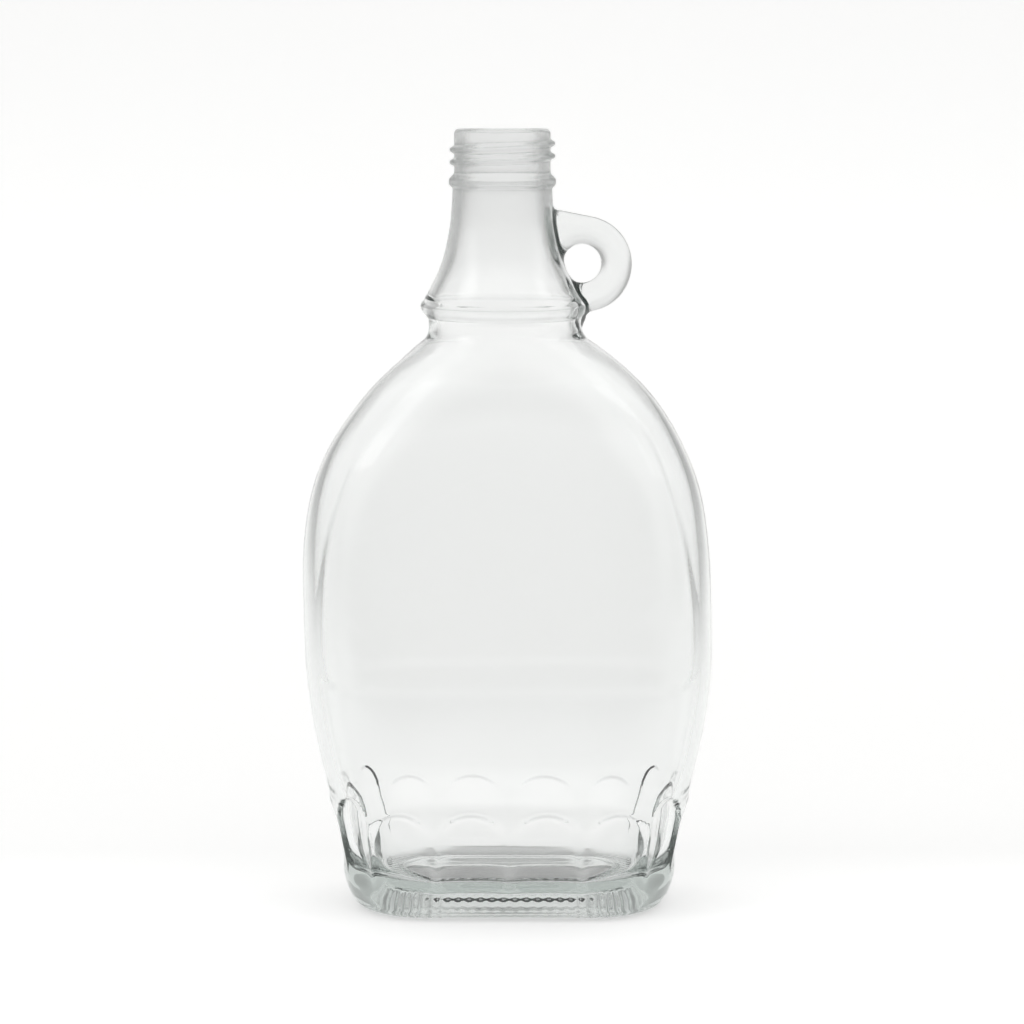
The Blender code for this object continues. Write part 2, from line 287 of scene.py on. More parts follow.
# height, half width, half depth, half length of the straight front, roundness of the ends
BODY = [
    (0.0, 36.9, 19.0, 21.5, 2.0),
    (0.6, 39.4, 22.15, 21.0, 2.05),
    (2.4, 41.2, 23.88, 20.5, 2.15),
    (6.0, 42.8, 25.2, 20.0, 2.3),
    (15.6, 44.9, 25.2, 20.0, 2.5),
    (27.0, 47.0, 25.1, 20.0, 2.6),
    (31.0, 47.4, 25.0, 20.0, 2.6),
    (32.8, 47.7, 25.1, 19.5, 2.6),
    (38.0, 49.1, 25.6, 18.0, 2.6),
    (53.0, 51.95, 26.7, 14.0, 2.6),
    (67.9, 53.15, 27.5, 10.0, 2.6),
    (80.0, 53.2, 27.9, 8.0, 2.6),
    (95.6, 52.7, 28.1, 6.0, 2.55),
    (110.3, 50.2, 28.0, 4.0, 2.5),
    (121.3, 45.7, 27.6, 2.0, 2.45),
    (132.3, 38.6, 26.6, 1.0, 2.35),
    (137.8, 33.8, 25.4, 0.5, 2.25),
    (143.2, 27.9, 23.4, 0.0, 2.15),
    (146.8, 23.6, 21.6, 0.0, 2.05),
    (148.9, 20.9, 20.4, 0.0, 2.0),
    (151.0, 19.9, 19.8, 0.0, 2.0),
    (153.4, 19.7, 19.7, 0.0, 2.0),
]
# height, radius: collar, flared neck, bead and the wall that carries the thread
ROUND = [(151.0, 19.87), (153.4, 19.7), (154.2, 20.0), (155.2, 20.85), (156.4, 21.35)]
ROUND += [(157.3, 21.5), (158.4, 20.9), (160.3, 19.6), (162.4, 18.5), (165.5, 16.97)]
ROUND += [(168.6, 15.7), (171.7, 14.8), (174.8, 14.13), (178.0, 13.55), (182.0, 13.15)]
ROUND += [(187.4, 12.9), (188.0, 13.45), (188.7, 13.85), (189.7, 13.8), (190.8, 12.9)]
ROUND += [(191.6, 12.45), (200.6, 12.45)]
# the underside, from its middle out to the foot ring: as BODY
UNDERSIDE = [
    (6.74, 8.0, 3.8, 4.5, 2.0),
    (5.94, 21.0, 9.0, 12.0, 2.0),
    (5.95, 28.85, 13.95, 15.0, 2.1),
    (3.69, 29.5, 14.62, 15.4, 2.1),
    (0.89, 30.1, 15.33, 15.8, 2.1),
    (0.0, 30.8, 15.87, 16.2, 2.05),
]
# the inside, floor to mouth: as BODY
INSIDE = [
    (9.52, 12.0, 8.0, 5.0, 2.0),
    (9.57, 28.0, 17.48, 14.0, 2.1),
    (9.67, 33.1, 20.57, 17.0, 2.2),
    (10.77, 36.5, 21.42, 18.0, 2.3),
    (14.1, 39.7, 21.6, 19.0, 2.4),
    (22.0, 42.3, 21.7, 19.5, 2.45),
    (31.0, 43.9, 21.8, 20.0, 2.5),
    (38.0, 45.9, 22.4, 18.0, 2.5),
    (53.0, 48.8, 23.6, 14.0, 2.5),
    (67.9, 50.0, 24.4, 10.0, 2.5),
    (80.0, 50.1, 24.8, 8.0, 2.5),
    (95.6, 49.6, 25.0, 6.0, 2.45),
    (110.3, 47.1, 24.9, 4.0, 2.4),
    (121.3, 42.6, 24.4, 2.0, 2.35),
    (132.3, 35.6, 23.3, 1.0, 2.25),
    (137.8, 31.0, 22.0, 0.5, 2.15),
    (143.2, 25.3, 20.6, 0.0, 2.05),
    (147.5, 19.8, 18.7, 0.0, 2.0),
    (150.5, 17.7, 17.6, 0.0, 2.0),
]
# and round from here to the mouth: height, radius
NECK_INSIDE = [(153.4, 17.5), (155.4, 18.2), (157.2, 18.4), (159.6, 17.4), (162.4, 15.9)]
NECK_INSIDE += [(168.6, 13.0), (174.8, 11.5), (182.0, 10.5), (190.0, 10.0), (200.4, 10.0)]
INSIDE += [(height, radius, radius, 0.0, 2.0) for height, radius in NECK_INSIDE]
print(len(BODY), "stations outside,", len(INSIDE), "inside")


# %% Smooth curves through the stations
def curve_through(stations, at):
    """Every column of the stations but the first, read at these places along the first."""
    table = np.array(stations, float)
    spots, values = table[:, 0], table[:, 1:]
    rises = np.diff(values, axis=0) / np.diff(spots)[:, None]
    before, after = rises[:-1], rises[1:]
    most = np.where(before * after <= 0.0, 0.0, 3.0 * np.minimum(abs(before), abs(after)))
    middle = (before + after) / 2.0
    slope = np.vstack([rises[:1], np.sign(middle) * np.minimum(abs(middle), most), rises[-1:]])
    at = np.clip(np.atleast_1d(np.asarray(at, float)), spots[0], spots[-1])
    i = np.clip(np.searchsorted(spots, at, side="right") - 1, 0, len(spots) - 2)
    span = (spots[i + 1] - spots[i])[:, None]
    t = (at - spots[i])[:, None] / span
    return (
        values[i] * (1.0 + 2.0 * t) * (1.0 - t) ** 2
        + values[i + 1] * t * t * (3.0 - 2.0 * t)
        + span * slope[i] * t * (1.0 - t) ** 2
        - span * slope[i + 1] * t * t * (1.0 - t)
    )


def ease(start, end, value):
    """0 at start, 1 at end, with no kink at either."""
    t = np.clip((value - start) / (end - start), 0.0, 1.0)
    return t * t * (3.0 - 2.0 * t)


def lean(height):
    return curve_through(LEAN, height)[:, 0]


print("half width at 80 mm:", round(float(curve_through(BODY, 80.0)[0, 0]), 2))

# %% Columns round the flask
# Each quarter turn has four flutes' worth of columns; a flute's edge always falls on one.
FLUTE_ENDS = (0.0, 0.309, 0.596, 0.773, 1.0)
FLUTE_COLUMNS = (20, 20, 16, 16)


def quarter_shares():
    """Shares of a quarter turn's length, front's middle to side's middle, both ends included."""
    runs = [
        np.linspace(start, end, count, endpoint=False)
        for start, end, count in zip(FLUTE_ENDS, FLUTE_ENDS[1:], FLUTE_COLUMNS)
    ]
    return np.concatenate(runs + [[1.0]])


SHARES = quarter_shares()
COLUMNS = 4 * (len(SHARES) - 1)
print(COLUMNS, "columns round the body")

# %% One level section
END_POINTS, FRONT_POINTS = 401, 8  # how finely a quarter's rounded end and its front are drawn
DIRECTION_REACH = 0.004  # an outward direction is taken over this share of a quarter, each way


def quarter_line(half_width, half_depth, straight, roundness):
    """A quarter of a section, finely: a straight front and then a rounded end."""
    power = 2.0 / roundness
    angle = np.linspace(0.0, math.pi / 2.0, END_POINTS)
    x = straight + (half_width - straight) * np.sin(angle) ** power
    y = half_depth * np.clip(np.cos(angle), 0.0, 1.0) ** power
    count = FRONT_POINTS if straight > 0.0 else 0
    front = np.linspace(0.0, straight, count, endpoint=False)
    x = np.concatenate([front, x])
    y = np.concatenate([np.full(len(front), half_depth), y])
    return x, y


def section(sizes, shares):
    """Places and outward directions of one level section, as (n, 2) arrays."""
    x, y = quarter_line(*sizes)
    length = np.concatenate([[0.0], np.cumsum(np.hypot(np.diff(x), np.diff(y)))])
    at = shares * length[-1]
    qx, qy = np.interp(at, length, x), np.interp(at, length, y)
    reach = DIRECTION_REACH * length[-1]
    ahead, behind = np.minimum(at + reach, length[-1]), np.maximum(at - reach, 0.0)
    tx = np.interp(ahead, length, x) - np.interp(behind, length, x)
    ty = np.interp(ahead, length, y) - np.interp(behind, length, y)
    size = np.hypot(tx, ty)
    nx, ny = -ty / size, tx / size
    nx[0], ny[0], nx[-1], ny[-1] = 0.0, 1.0, 1.0, 0.0
    found = []
    for gx, gy in ((qx, qy), (nx, ny)):
        front_right = np.stack([gx, -gy], 1)[:-1]
        back_right = np.stack([gx, gy], 1)[:0:-1]
        back_left = np.stack([-gx, gy], 1)[:-1]
        front_left = np.stack([-gx, -gy], 1)[:0:-1]
        found.append(np.concatenate([front_right, back_right, back_left, front_left]))
    return found


foot_places, _ = section(BODY[0][1:], SHARES)
print("the foot is", round(2.0 * float(foot_places[:, 0].max()), 1), "mm wide")

# %% [markdown]
# ## The skin, outside and in
#
# The flask is drawn as one skin: from the middle of the underside out to the foot, up the outside,
# over the lip, and down the inside to the middle of the floor. A row of points for each height and
# a face between each two rows would be slow to draw by hand, so the rows are loops over heights,
# close together where the glass bends sharply and further apart where it doesn't.

# %% Heights of the rows outside
def steps(*stops):
    """Heights from (start, step) pairs: each run goes on to the next pair's start."""
    runs = []
    for (start, step), (end, _) in zip(stops, stops[1:]):
        count = max(1, round((end - start) / step))
        runs.append(np.linspace(start, end, count, endpoint=False))
    return np.concatenate(runs)


BODY_STEPS = [(0.0, 0.2), (0.6, 0.4), (3.0, 0.65), (27.0, 0.4), (34.0, 1.3), (57.0, 0.7)]
BODY_STEPS += [(65.0, 1.5), (129.0, 0.75), (151.2, 0.75)]
BODY_HEIGHTS = steps(*BODY_STEPS)
LOOP_FOOT = (152.6, 163.9, 19)  # the loop's foot on the neck: from, to, rows
LOOP_HEAD = (169.5, 182.2, 17)
NECK_HEIGHTS = np.concatenate(
    [
        steps((151.8, 0.4), (LOOP_FOOT[0], 0.4)),
        np.linspace(*LOOP_FOOT[:2], LOOP_FOOT[2], endpoint=False),
        steps((LOOP_FOOT[1], 0.7), (LOOP_HEAD[0], 0.7)),
        np.linspace(*LOOP_HEAD[:2], LOOP_HEAD[2], endpoint=False),
        steps((LOOP_HEAD[1], 0.6), (187.2, 0.25), (200.61, 0.25)),
    ]
)
print(len(BODY_HEIGHTS), "rows up the body,", len(NECK_HEIGHTS), "up the neck")

# %% [markdown]
# The label panel is a shallow step in the mould: a big egg-shaped field on the front and back that
# lies a third of a millimetre lower, so that a paper label isn't rubbed off. Its edge is a distance
# to an outline, eased over a millimetre or so: crisp along the sides, softer at the bottom, and
# running out slowly towards the shoulder. A smooth minimum rounds the corners between the edges.

# %% The label panel
PANEL_EDGE = [(56.0, 45.5), (60.0, 47.2), (64.0, 48.5), (70.0, 49.1), (78.0, 49.0)]
PANEL_EDGE += [(87.4, 48.0), (98.4, 46.2), (109.0, 43.2), (115.0, 41.3), (120.2, 39.4)]
PANEL_EDGE += [(125.3, 36.9), (129.0, 34.2), (134.8, 29.0), (139.0, 24.5)]
PANEL_TOP, PANEL_BOTTOM = 136.6, 58.5
PANEL_DEPTH = 0.35
PANEL_SOFT = (-0.2, 1.3)  # mm inside the outline, over which the step goes down
PANEL_CORNER = 6.0
PANEL_MARGIN = 2.0  # rows this far above and below the panel are worked out with it
PANEL_FADE = {"top": 0.12, "bottom": 0.5}  # how steep these edges are, where the sides have 1


def smooth_least(a, b, corner):
    """The lesser of two distances, with the corner between them rounded."""
    near = np.clip(1.0 - np.abs(a - b) / corner, 0.0, 1.0)
    return np.minimum(a, b) - near**3 * corner / 6.0


def panel_cut(x, height):
    side = curve_through(PANEL_EDGE, np.full_like(x, height))[:, 0] - np.abs(x)
    top = np.full_like(x, (PANEL_TOP - height) * PANEL_FADE["top"])
    bottom = np.full_like(x, (height - PANEL_BOTTOM) * PANEL_FADE["bottom"])
    inside = smooth_least(smooth_least(side, top, PANEL_CORNER), bottom, PANEL_CORNER)
    return PANEL_DEPTH * ease(*PANEL_SOFT, inside)


print("panel", PANEL_TOP - PANEL_BOTTOM, "mm tall")


# %% Rows of points
def level_row(height, sizes, shares=SHARES, panel=False):
    """One row of the skin, in millimetres, and the directions that point outwards there."""
    places, outward = section(sizes, shares)
    if panel:
        places = places - outward * panel_cut(places[:, 0], height)[:, None]
    places = places + [lean(height)[0], 0.0]
    flat = np.zeros((len(places), 1))
    return np.hstack([places, flat + height]), np.hstack([outward, flat])


def numbered_rows(stations, at, shares):
    """Rows that go by the stations' number, because their heights don't rise all the way."""
    numbered = [(k, *station) for k, station in enumerate(stations)]
    return [level_row(z, sizes, shares) for z, *sizes in curve_through(numbered, at)]


HALF = SHARES[::2]
RING_ROWS = 8
# the underside's rows are closer together where it turns down
rows = numbered_rows(UNDERSIDE, steps((0.0, 0.5), (2.0, 0.2), (5.0, 0.2)), SHARES)
ring_inner, ring_outer = np.array(UNDERSIDE[-1][1:]), np.array(BODY[0][1:])
for t in np.linspace(0.0, 1.0, RING_ROWS, endpoint=False):
    rows.append(level_row(0.0, ring_inner + (ring_outer - ring_inner) * t))
first_body = len(rows)
for height, sizes in zip(BODY_HEIGHTS, curve_through(BODY, BODY_HEIGHTS)):
    near_panel = PANEL_BOTTOM - PANEL_MARGIN < height < PANEL_TOP + PANEL_MARGIN
    rows.append(level_row(height, sizes, panel=near_panel))
first_neck = len(rows)
for height, (radius,) in zip(NECK_HEIGHTS, curve_through(ROUND, NECK_HEIGHTS)):
    rows.append(level_row(height, (radius, radius, 0.0, 2.0), HALF))
print(len(rows), "rows outside, of", COLUMNS, "and then", len(rows[-1][0]), "points")

# %% Over the lip and down the inside
LIP_OUT, LIP_IN = 1.3, 0.9  # radii of the lip's two round edges
LIP_ROWS = (8, 7)
WALL_OUT, WALL_IN = ROUND[-1][1], NECK_INSIDE[-1][1]
RIPPLE = 0.07  # mm each way, for one of the waves below
RIPPLE_STARTS, RIPPLE_ENDS = (12.0, 40.0), (140.0, 165.0)  # heights that it fades over


def lip_profile():
    """Heights and radii over the lip, outside to inside."""
    out = np.radians(np.linspace(0.0, 90.0, LIP_ROWS[0]))
    back = np.radians(np.linspace(90.0, 180.0, LIP_ROWS[1]))
    heights = [HEIGHT - LIP_OUT + LIP_OUT * np.sin(out), HEIGHT - LIP_IN + LIP_IN * np.sin(back)]
    radii = [WALL_OUT - LIP_OUT + LIP_OUT * np.cos(out), WALL_IN + LIP_IN + LIP_IN * np.cos(back)]
    return zip(np.concatenate(heights), np.concatenate(radii))


def blown_ripple(places):
    """How the inside of blown glass wanders, mm: long, shallow waves, none of them regular."""
    x, y, z = places.T
    side = np.arctan2(y, x)
    wave = np.sin(z / 9.1 + 1.3 * np.sin(side) + 0.4) + np.sin(z / 14.7 - 2.0 * side)
    wave += np.sin(x / 8.3 + z / 21.0 + 1.1) + 0.7 * np.sin(3.0 * side + z / 31.0)
    return RIPPLE * wave * ease(*RIPPLE_STARTS, z) * (1.0 - ease(*RIPPLE_ENDS, z))


for height, radius in lip_profile():
    rows.append(level_row(height, (radius, radius, 0.0, 2.0), HALF))
first_inside = len(rows)
inner_heights = steps((14.1, 1.2), (30.0, 1.7), (140.0, 1.0), (165.0, 2.0), (200.4, 2.0))[::-1]
for height, sizes in zip(inner_heights, curve_through(INSIDE, inner_heights)):
    places, outward = level_row(height, sizes, HALF)
    rows.append((places + outward * blown_ripple(places)[:, None], outward))
rows += numbered_rows(INSIDE, steps((0.0, 0.5), (1.0, 0.2), (4.0, 0.2))[::-1], HALF)
print(len(rows) - first_inside, "rows inside")


# %% Join the rows into one skin
def join_rows(rows):
    """Points, outward directions, faces, and where each row starts in the points."""
    points, outward = (np.vstack(part) for part in zip(*rows))
    starts = np.concatenate([[0], np.cumsum([len(places) for places, _ in rows])])
    faces = []
    for k in range(len(rows) - 1):
        low, high = starts[k], starts[k + 1]
        n, m = starts[k + 1] - low, starts[k + 2] - high
        if n == m:
            faces += [(low + j, low + (j + 1) % n, high + (j + 1) % m, high + j) for j in range(n)]
            continue
        for j in range(m):  # twice as many columns below as above
            two = (2 * j + 2) % n
            faces.append((low + 2 * j, low + 2 * j + 1, low + two, high + (j + 1) % m, high + j))
    return points, outward, faces, starts


points, outward, faces, starts = join_rows(rows)
for row, order in ((0, -1), (len(rows) - 1, 1)):
    tip = len(points)
    first, count = starts[row], starts[row + 1] - starts[row]
    points = np.vstack([points, points[first : first + count].mean(0)])
    outward = np.vstack([outward, [0.0, 0.0, 0.0]])
    faces += [(first + j, first + (j + 1) % count, tip)[::order] for j in range(count)]
print(len(points), "points,", len(faces), "faces")

# %% [markdown]
# ## The finger loop
#
# The loop is glass too, pressed out of the same wall, so it can't be a ring pushed into the neck:
# a ray of light would meet the neck's wall inside it. Two windows are cut in the skin instead, and
# a sleeve of faces runs from one to the other round the hole. Then every point near it is moved on
# to a smooth union of neck and ring, which gives the joints the soft fillets of molten glass.

# %% The loop's sizes
LOOP_MIDDLE, LOOP_RADIUS = (19.7, 167.9), 12.4
LOOP_ROOT = (12.0, 169.5)  # the ring's disc is drawn out to here, inside the neck
HOLE_MIDDLE, HOLE_RADIUS = (19.2, 168.1), 4.95
FOOT_MIDDLE, FOOT_RADIUS = (17.6, 154.3), 2.6
LOOP_HALF_THICK, LOOP_EDGE = 3.25, 3.0
FILLET, FOOT_FILLET = 1.7, 2.0  # where the loop meets the neck, and its foot meets its disc
SLOPE_STEP, PROBE = 0.05, 0.02  # mm: how far off slopes are measured
LEAST_SLOPE = 0.2  # keeps a move short where the distance hardly changes
LOOP_COLUMNS = {"foot": 4, "head": 5}  # columns of the window each side of the middle


def loop_distance(p):
    """Distance to the loop's surface, less than nothing inside it."""
    x, y, z = p.T
    root, end = np.array(LOOP_ROOT), np.array(LOOP_MIDDLE)
    run = end - root
    flat = np.stack([x, z], 1) - root
    t = np.clip(flat @ run / (run @ run), 0.0, 1.0)
    disc = np.hypot(*(flat - t[:, None] * run).T) - LOOP_RADIUS
    foot = np.hypot(x - FOOT_MIDDLE[0], z - FOOT_MIDDLE[1]) - FOOT_RADIUS
    hole = HOLE_RADIUS - np.hypot(x - HOLE_MIDDLE[0], z - HOLE_MIDDLE[1])
    outline = np.maximum(smooth_least(disc, foot, FOOT_FILLET), hole) + LOOP_EDGE
    side = np.abs(y) - LOOP_HALF_THICK + LOOP_EDGE
    corner = np.hypot(np.maximum(outline, 0.0), np.maximum(side, 0.0))
    return np.minimum(np.maximum(outline, side), 0.0) + corner - LOOP_EDGE


def neck_distance(p):
    x, y, z = p.T
    below, radius, above = [
        curve_through(ROUND, z + step)[:, 0] for step in (-SLOPE_STEP, 0.0, SLOPE_STEP)
    ]
    slope = (above - below) / (2.0 * SLOPE_STEP)
    return (np.hypot(x - lean(z), y) - radius) / np.sqrt(1.0 + slope**2)


def union_distance(p):
    return smooth_least(neck_distance(p), loop_distance(p), FILLET)


def onto_surface(p, turns):
    """Moves points to the nearest place where the union's distance is nothing."""
    for _ in range(turns):
        here = union_distance(p)
        slope = np.stack(
            [union_distance(p + step) - union_distance(p - step) for step in PROBE * np.eye(3)], 1
        ) / (2.0 * PROBE)
        p = p - slope * (here / np.maximum((slope**2).sum(1), LEAST_SLOPE))[:, None]
    return p


print("loop reaches out to", LOOP_MIDDLE[0] + LOOP_RADIUS, "mm")

# %% Two windows in the neck
NECK_COLUMNS = len(rows[first_neck][0])
LOOP_COLUMN = NECK_COLUMNS // 4


def neck_row(height):
    return first_neck + int(np.argmin(np.abs(NECK_HEIGHTS - height)))


def window(low, high, columns):
    """The points round a window, from its lower front corner, anticlockwise seen from outside."""
    left, right = LOOP_COLUMN - columns, LOOP_COLUMN + columns
    edge = [(low, c) for c in range(left, right)] + [(r, right) for r in range(low, high)]
    edge += [(high, c) for c in range(right, left, -1)]
    edge += [(r, left) for r in range(high, low, -1)]
    return [starts[r] + c for r, c in edge]


foot_rows = neck_row(LOOP_FOOT[0]), neck_row(LOOP_FOOT[1])
head_rows = neck_row(LOOP_HEAD[0]), neck_row(LOOP_HEAD[1])
foot_edge = window(*foot_rows, LOOP_COLUMNS["foot"])
head_edge = window(*head_rows, LOOP_COLUMNS["head"])
# the foot's edge starts at its upper front corner and runs the other way, to face the head's
turn = foot_rows[1] - foot_rows[0]
foot_edge = foot_edge[::-1]
foot_edge = foot_edge[turn - 1 :] + foot_edge[: turn - 1]
print(len(foot_edge), "points round the foot's window,", len(head_edge), "round the head's")

# %% A sleeve between them
def unit_ring(across, along):
    """The places of a ring's points on a square: across the loop, and from its hole outwards."""
    up, right = np.linspace(0.0, 1.0, along, endpoint=False), np.linspace(-1, 1, across + 1)[:-1]
    square = [(a, 0.0) for a in right] + [(1.0, b) for b in up]
    square += [(-a, 1.0) for a in right] + [(-1.0, 1.0 - b) for b in up]
    return np.array(square)


head_ring = unit_ring(2 * LOOP_COLUMNS["head"], head_rows[1] - head_rows[0])
foot_ring = unit_ring(2 * LOOP_COLUMNS["foot"], foot_rows[1] - foot_rows[0])
SLEEVE_RINGS = 48
SLEEVE_HALF_THICK = 3.0
# degrees at the head, degrees turned through to the foot, and the radius that it runs at
SLEEVE_HOLE, SLEEVE_OUTSIDE = (150.0, 275.0, 5.2), (115.0, 200.0, 12.2)


def sleeve_ring(t):
    """One ring of the sleeve, t from 0 at the head to 1 at the foot."""
    square = head_ring + (foot_ring - head_ring) * t
    ends = []
    for middle, path in ((HOLE_MIDDLE, SLEEVE_HOLE), (LOOP_MIDDLE, SLEEVE_OUTSIDE)):
        start, turned, radius = path
        angle = math.radians(start - turned * t)
        ends.append(np.array(middle) + radius * np.array([math.cos(angle), math.sin(angle)]))
    near, far = ends
    flat = near + (far - near) * square[:, 1:]
    return np.stack([flat[:, 0], SLEEVE_HALF_THICK * square[:, 0], flat[:, 1]], 1)


def cut_and_sleeve(points, outward, faces):
    gone = {
        starts[row] + LOOP_COLUMN + column
        for end, run in (("foot", foot_rows), ("head", head_rows))
        for row in range(*run)
        for column in range(-LOOP_COLUMNS[end], LOOP_COLUMNS[end])
    }
    faces = [f for f in faces if f[0] not in gone]
    rings = [head_edge]
    for t in np.linspace(0.0, 1.0, SLEEVE_RINGS):
        made = sleeve_ring(t)
        rings.append(list(range(len(points), len(points) + len(made))))
        points = np.vstack([points, made])
    rings.append(foot_edge)
    outward = np.vstack([outward, np.zeros((len(points) - len(outward), 3))])
    for before, after in zip(rings, rings[1:]):
        n = len(before)
        faces += [(before[j], before[(j + 1) % n], after[(j + 1) % n], after[j]) for j in range(n)]
    return points, outward, faces


skin_points = len(points)
points, outward, faces = cut_and_sleeve(points, outward, faces)
print(len(points) - skin_points, "points in the sleeve")


# %% Relax the sleeve and lay it on the smooth union
RELAX_WITHIN, LAY_WITHIN = 2.2, 6.0  # mm from the joints, on the neck
RELAX_ROUNDS = 40


def relax_loop(points, faces, used):
    edges = np.array([(f[k], f[(k + 1) % len(f)]) for f in faces for k in range(len(f))])
    joint = np.array(head_edge + foot_edge)
    neck = np.arange(starts[first_neck], starts[first_neck + len(NECK_HEIGHTS) - 1])
    apart = np.sqrt(((points[neck][:, None] - points[joint][None]) ** 2).sum(2)).min(1)
    free = np.zeros(len(points), bool)
    free[skin_points:] = True
    free[neck[apart < RELAX_WITHIN]] = True
    free &= used
    near = free.copy()
    near[neck[apart < LAY_WITHIN]] = True
    edges = edges[free[edges[:, 0]] | free[edges[:, 1]]]
    touched = np.zeros(len(points))
    np.add.at(touched, edges[:, 0], 1.0)
    np.add.at(touched, edges[:, 1], 1.0)
    for _ in range(RELAX_ROUNDS):
        total = np.zeros_like(points)
        np.add.at(total, edges[:, 0], points[edges[:, 1]])
        np.add.at(total, edges[:, 1], points[edges[:, 0]])
        points[free] += 0.5 * (total[free] / touched[free][:, None] - points[free])
        points[near] = onto_surface(points[near], 1)
    points[near] = onto_surface(points[near], 4)
    return points


used = np.zeros(len(points), bool)  # the windows' points are no face's any more
used[np.concatenate([np.array(f) for f in faces])] = True
points = relax_loop(points, faces, used)
off = np.abs(union_distance(points[skin_points:]))
print("loop points lie within", round(float(off.max()), 4), "mm of the smooth union")

# %% What the rules below need to know at each point
FLUTE_TOPS = (28.5, 28.5, 31.8, 29.6)  # mm, from the front's middle to the side's
BACK_TALLER = 1.2  # mm: the mould's two halves differ a little
BACK_RUN = (-5.0, 5.0)  # mm from front to back, over which they change
FLUTES_BELOW = 34.0  # mm up, where the last of them has ended
SIDE_FLUTE_END = 1.227  # the side's flute runs on round the corner, past the quarter turn
RECESS_HEIGHT = 5.9  # mm: how deep the base is pushed up inside the ring


POINT_VALUES = {  # and what they say at a point that has no part in it
    "flute_across": 1.0,  # 0 down a flute's middle, 1 at its edge
    "flute_top": 0.0,  # mm
    "ring_across": 2.0,  # -1 at the foot ring's inner edge, 1 at its outer edge
    "ring_around": 0.0,  # share of the way round
    "ring_wall": 0.0,  # 1 halfway up the ring's inner side
}


def point_values():
    value = {name: np.full(len(points), rest) for name, rest in POINT_VALUES.items()}
    ends = np.array(FLUTE_ENDS[:-1] + (SIDE_FLUTE_END,))
    k = np.clip(np.searchsorted(ends, SHARES, side="right") - 1, 0, len(ends) - 2)
    quarter = {
        "flute_across": np.abs(2.0 * (SHARES - ends[k]) / (ends[k + 1] - ends[k]) - 1.0),
        "flute_top": np.array(FLUTE_TOPS)[k],
    }
    first_ring = first_body - RING_ROWS
    for row, (places, _) in enumerate(rows[:first_neck]):
        here, height = slice(starts[row], starts[row + 1]), places[0, 2]
        if row <= first_body:
            value["ring_around"][here] = np.arange(COLUMNS) / COLUMNS
        if row < first_ring:
            down = max(RECESS_HEIGHT - height, 0.0) / RECESS_HEIGHT
            value["ring_wall"][here] = math.sin(math.pi * min(down, 1.0)) ** 0.5
        elif row <= first_body:
            value["ring_across"][here] = 2.0 * (row - first_ring) / RING_ROWS - 1.0
        if row >= first_body and height < FLUTES_BELOW:
            for name, values in quarter.items():
                value[name][here] = np.tile(np.concatenate([values[:-1], values[:0:-1]]), 2)
            value["flute_top"][here] += BACK_TALLER * ease(*BACK_RUN, places[:, 1])
    return value


rule_values = point_values()
print("values at each point:", *rule_values)


# %% The skin as a mesh
def skin_mesh(values_at_points):
    index = np.cumsum(used) - 1
    mesh = bpy.data.meshes.new("skin")
    mesh.from_pydata((points[used] * MM).tolist(), [], [[int(index[p]) for p in f] for f in faces])
    for name, values in values_at_points.items():
        mesh.attributes.new(name, "FLOAT", "POINT").data.foreach_set(
            "value", values[used].astype(np.float32)
        )
    mesh.attributes.new("outward", "FLOAT_VECTOR", "POINT").data.foreach_set(
        "vector", outward[used].astype(np.float32).ravel()
    )
    mesh.polygons.foreach_set("use_smooth", [True] * len(mesh.polygons))
    mesh.update()
    return mesh


flask = bpy.data.objects.new("blown_flask", skin_mesh(rule_values))
bpy.context.scene.collection.objects.link(flask)
print(len(flask.data.vertices), "points in the skin")

# %% [markdown]
# ## Clear glass
#
# The real one is soda-lime glass, the common glass of jars, formed hot in a polished mould and then
# softened again by its own heat, so its skin is almost perfectly smooth. It bends light by 1.52,
# loses a little at every face, and takes a grey-green tint only where light runs a long way through
# it, along the wall. So the colour is in the depth of the glass and not on its skin.

# %% The glass
GLASS_IOR = 1.52
GLASS_TINT = "#9eafa8"  # what is left of white light after a long way through the wall
GLASS_DEPTH = 20.0  # how strongly depth tints, per metre
POLISH = (0.01, 0.05)  # roughness of the skin, from its brightest spots to its dullest
HAZE_SCALE, HAZE_RANGE = 60.0, (0.35, 0.75)  # spots about 17 mm across, and the noise's range
SKIN_SCALE = 140.0  # chill marks from the mould, about 7 mm across
SKIN_STRENGTH, SKIN_HEIGHT = 0.05, 0.0003  # and how high they stand, in metres
MOUTH_HAZE = 0.22  # the ring mould that forms the mouth is swabbed, and leaves it a little dull
MOUTH_RUN = (0.150, 0.186)  # metres up, over which the haze comes in


